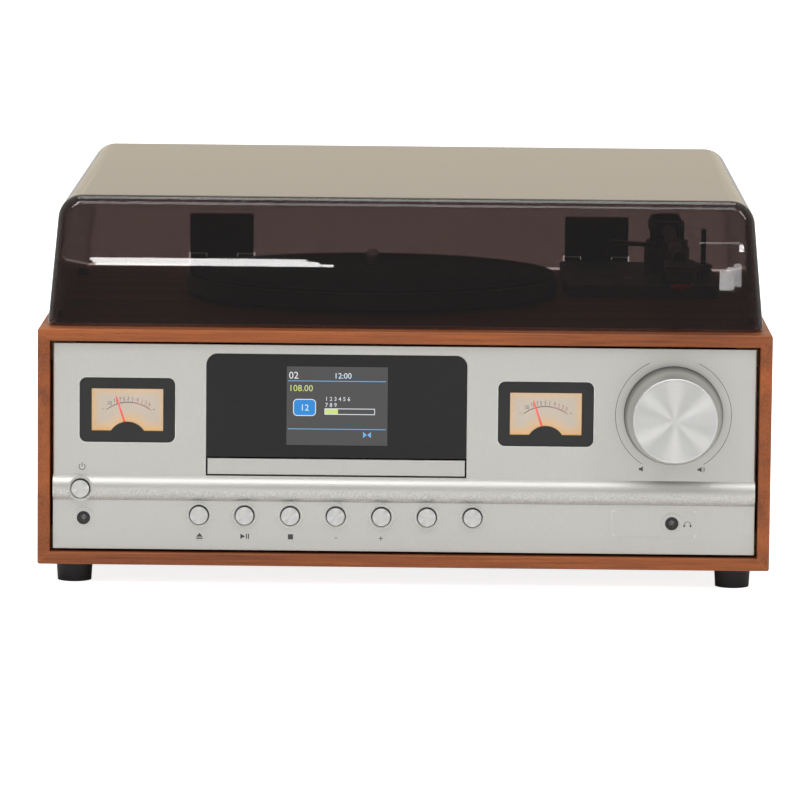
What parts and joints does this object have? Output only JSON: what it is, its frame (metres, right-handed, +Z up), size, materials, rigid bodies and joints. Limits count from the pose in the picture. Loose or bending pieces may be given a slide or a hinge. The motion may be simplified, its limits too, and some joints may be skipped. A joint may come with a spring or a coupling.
{
  "type": "stereo music centre",
  "caption": "Wood-cased stereo music centre: record deck under a smoked hinged cover, disc drawer, level meters, display window, push buttons and a large volume knob.",
  "frame": {"origin": "middle of the footprint of the whole object, on the surface that its feet stand on", "axes": "+X to the right seen from the front, +Y to the back, +Z up"},
  "size_m": [0.42, 0.391, 0.2265],
  "materials": {
    "wood_veneer": "orange-brown wood-grain wrap",
    "hardboard": "black-faced fibreboard",
    "batten": "plain softwood",
    "black_plastic": "fine satin black moulding",
    "black_gloss": "gloss black acrylic",
    "silver_paint": "silver metallic lacquer",
    "spun_metal": "spun, with a conical sheen",
    "steel": "bright steel",
    "smoked_acrylic": "clear smoked acrylic",
    "clear_lens": "clear acrylic",
    "dial_card": "back-lit cream dial",
    "needle_red": "orange-red lacquer",
    "screen": "dark grey display glass",
    "rubber": "matt black rubber",
    "circuit_board": "green solder mask",
    "stylus_red": "clear red moulding",
    "grey_plastic": "dark grey moulding",
    "white_plastic": "natural acetal",
    "brass": "turned brass"
  },
  "bodies": {
    "cabinet": {"top_board": "wood_veneer", "bottom_board": "wood_veneer", "left_board": "wood_veneer", "right_board": "wood_veneer", "corner_blocks": "batten", "feet": "black_plastic", "case_screws": "steel", "rear_panel": "hardboard", "rear_sockets": "black_plastic", "fascia": "silver_paint", "display_window": "black_gloss", "display_module": "screen", "vu_cases": "black_plastic", "vu_lenses": "clear_lens", "vu_dials": "dial_card", "control_board": "circuit_board", "front_jacks": "black_plastic", "encoder_body": "grey_plastic", "disc_chassis": "grey_plastic", "speaker_drivers": "black_plastic", "speaker_grilles": "black_plastic", "main_board": "circuit_board", "platter_bearing": "brass", "drive_motor": "steel", "drive_belt": "rubber", "tonearm_base": "black_plastic", "hinge_bases": "black_plastic"},
    "dust_cover": {"dust_cover": "smoked_acrylic", "hinge_leaves": "black_plastic"},
    "platter": {"platter": "black_plastic", "platter_mat": "rubber", "spindle": "steel"},
    "motor_pulley": {"motor_pulley": "brass"},
    "arm_yoke": {"tonearm_gimbal": "black_plastic"},
    "tonearm": {"tonearm": "black_plastic", "cartridge": "black_gloss", "stylus": "stylus_red"},
    "arm_lifter": {"arm_lifter": "black_plastic"},
    "cue_lever": {"cue_lever": "black_plastic"},
    "speed_switch": {"speed_switch": "grey_plastic"},
    "drawer": {"disc_tray": "black_plastic", "tray_front": "silver_paint"},
    "tray_gear": {"tray_gear": "white_plastic"},
    "disc_hub": {"disc_hub": "black_plastic"},
    "laser_sled": {"laser_sled": "grey_plastic"},
    "encoder_shaft": {"encoder_shaft": "steel"},
    "volume_knob": {"volume_knob": "spun_metal"},
    "vu_needle_left": {"vu_needle_left": "needle_red"},
    "vu_needle_right": {"vu_needle_right": "needle_red"},
    "aerial_base": {"aerial_base": "black_plastic"},
    "aerial_tube": {"aerial_tube": "steel"},
    "aerial_rod": {"aerial_rod": "steel"},
    "button_power": {"button_power": "spun_metal"},
    "button_eject": {"button_eject": "spun_metal"},
    "button_play": {"button_play": "spun_metal"},
    "button_stop": {"button_stop": "spun_metal"},
    "button_tune_down": {"button_tune_down": "spun_metal"},
    "button_tune_up": {"button_tune_up": "spun_metal"},
    "button_menu": {"button_menu": "spun_metal"},
    "button_source": {"button_source": "spun_metal"}
  },
  "joints": [
    {"name": "cover_hinge", "type": "hinge", "parent": "cabinet", "child": "dust_cover", "pos_m": [0, 0.1767, 0.1534], "axis": [-1, 0, 0], "range_deg": [0, 65]},
    {"name": "platter_spin", "type": "hinge", "parent": "cabinet", "child": "platter", "pos_m": [-0.0215, 0.0225, 0.148], "axis": [0, 0, 1], "continuous": true},
    {"name": "pulley_spin", "type": "hinge", "parent": "cabinet", "child": "motor_pulley", "pos_m": [-0.06282, 0.1002, 0.148], "axis": [0, 0, 1], "continuous": true},
    {"name": "arm_swing", "type": "hinge", "parent": "cabinet", "child": "arm_yoke", "pos_m": [0.16002, 0.102, 0.182], "axis": [0, 0, -1], "range_deg": [0, 50]},
    {"name": "arm_lift", "type": "hinge", "parent": "arm_yoke", "child": "tonearm", "pos_m": [0.16002, 0.102, 0.182], "axis": [-1, 0, 0], "range_deg": [0, 6]},
    {"name": "lifter_rise", "type": "slide", "parent": "cabinet", "child": "arm_lifter", "axis": [0, 0, 1], "range_m": [0, 0.0045]},
    {"name": "cue_lever_turn", "type": "hinge", "parent": "cabinet", "child": "cue_lever", "pos_m": [0.1806, 0.062, 0.159], "axis": [-1, 0, 0], "range_deg": [0, 50.5]},
    {"name": "speed_select", "type": "slide", "parent": "cabinet", "child": "speed_switch", "axis": [1, 0, 0], "range_m": [-0.005, 0.005]},
    {"name": "tray_slide", "type": "slide", "parent": "cabinet", "child": "drawer", "axis": [0, -1, 0], "range_m": [0, 0.122]},
    {"name": "tray_gear_turn", "type": "hinge", "parent": "cabinet", "child": "tray_gear", "pos_m": [-0.09329, -0.14, 0.0676], "axis": [0, 0, 1], "range_deg": [0, 875.8]},
    {"name": "disc_spin", "type": "hinge", "parent": "cabinet", "child": "disc_hub", "pos_m": [-0.03889, -0.1005, 0.0653], "axis": [0, 0, 1], "continuous": true},
    {"name": "sled_slide", "type": "slide", "parent": "cabinet", "child": "laser_sled", "axis": [0, 1, 0], "range_m": [0, 0.034]},
    {"name": "button_power_press", "type": "slide", "parent": "cabinet", "child": "button_power", "axis": [0, 1, 0], "range_m": [0, 0.0008], "stiffness_N_per_m": 800, "springref_m": -0.0005},
    {"name": "button_eject_press", "type": "slide", "parent": "cabinet", "child": "button_eject", "axis": [0, 1, 0], "range_m": [0, 0.0008], "stiffness_N_per_m": 800, "springref_m": -0.0005},
    {"name": "button_play_press", "type": "slide", "parent": "cabinet", "child": "button_play", "axis": [0, 1, 0], "range_m": [0, 0.0008], "stiffness_N_per_m": 800, "springref_m": -0.0005},
    {"name": "button_stop_press", "type": "slide", "parent": "cabinet", "child": "button_stop", "axis": [0, 1, 0], "range_m": [0, 0.0008], "stiffness_N_per_m": 800, "springref_m": -0.0005},
    {"name": "button_tune_down_press", "type": "slide", "parent": "cabinet", "child": "button_tune_down", "axis": [0, 1, 0], "range_m": [0, 0.0008], "stiffness_N_per_m": 800, "springref_m": -0.0005},
    {"name": "button_tune_up_press", "type": "slide", "parent": "cabinet", "child": "button_tune_up", "axis": [0, 1, 0], "range_m": [0, 0.0008], "stiffness_N_per_m": 800, "springref_m": -0.0005},
    {"name": "button_menu_press", "type": "slide", "parent": "cabinet", "child": "button_menu", "axis": [0, 1, 0], "range_m": [0, 0.0008], "stiffness_N_per_m": 800, "springref_m": -0.0005},
    {"name": "button_source_press", "type": "slide", "parent": "cabinet", "child": "button_source", "axis": [0, 1, 0], "range_m": [0, 0.0008], "stiffness_N_per_m": 800, "springref_m": -0.0005},
    {"name": "knob_turn", "type": "hinge", "parent": "cabinet", "child": "encoder_shaft", "pos_m": [0.15401, -0.1695, 0.1011], "axis": [0, 1, 0], "continuous": true},
    {"name": "knob_press", "type": "slide", "parent": "encoder_shaft", "child": "volume_knob", "axis": [0, 1, 0], "range_m": [0, 0.0008], "stiffness_N_per_m": 1500, "springref_m": -0.0005},
    {"name": "vu_needle_left_swing", "type": "hinge", "parent": "cabinet", "child": "vu_needle_left", "pos_m": [-0.15876, -0.1596, 0.0869], "axis": [0, 1, 0], "range_deg": [-21.3, 58.7], "stiffness_Nm_per_rad": 0.0005},
    {"name": "vu_needle_right_swing", "type": "hinge", "parent": "cabinet", "child": "vu_needle_right", "pos_m": [0.08098, -0.1596, 0.0869], "axis": [0, 1, 0], "range_deg": [-21.3, 58.7], "stiffness_Nm_per_rad": 0.0005},
    {"name": "aerial_swivel", "type": "hinge", "parent": "cabinet", "child": "aerial_base", "pos_m": [0.1512, 0.1913, 0.118], "axis": [0, 1, 0], "range_deg": [0, 180]},
    {"name": "aerial_tilt", "type": "hinge", "parent": "aerial_base", "child": "aerial_tube", "pos_m": [0.1512, 0.1913, 0.118], "axis": [0, 0, -1], "range_deg": [0, 90]},
    {"name": "aerial_extend", "type": "slide", "parent": "aerial_tube", "child": "aerial_rod", "axis": [-1, 0, 0], "range_m": [0, 0.11]}
  ],
  "couplings": [
    {"joint": "pulley_spin", "follows": "platter_spin", "ratio": 11.667},
    {"joint": "lifter_rise", "follows": "arm_lift", "m_per_rad": 0.042},
    {"joint": "cue_lever_turn", "follows": "arm_lift", "ratio": 8.3333},
    {"joint": "tray_gear_turn", "follows": "tray_slide", "rad_per_m": 125}
  ]
}
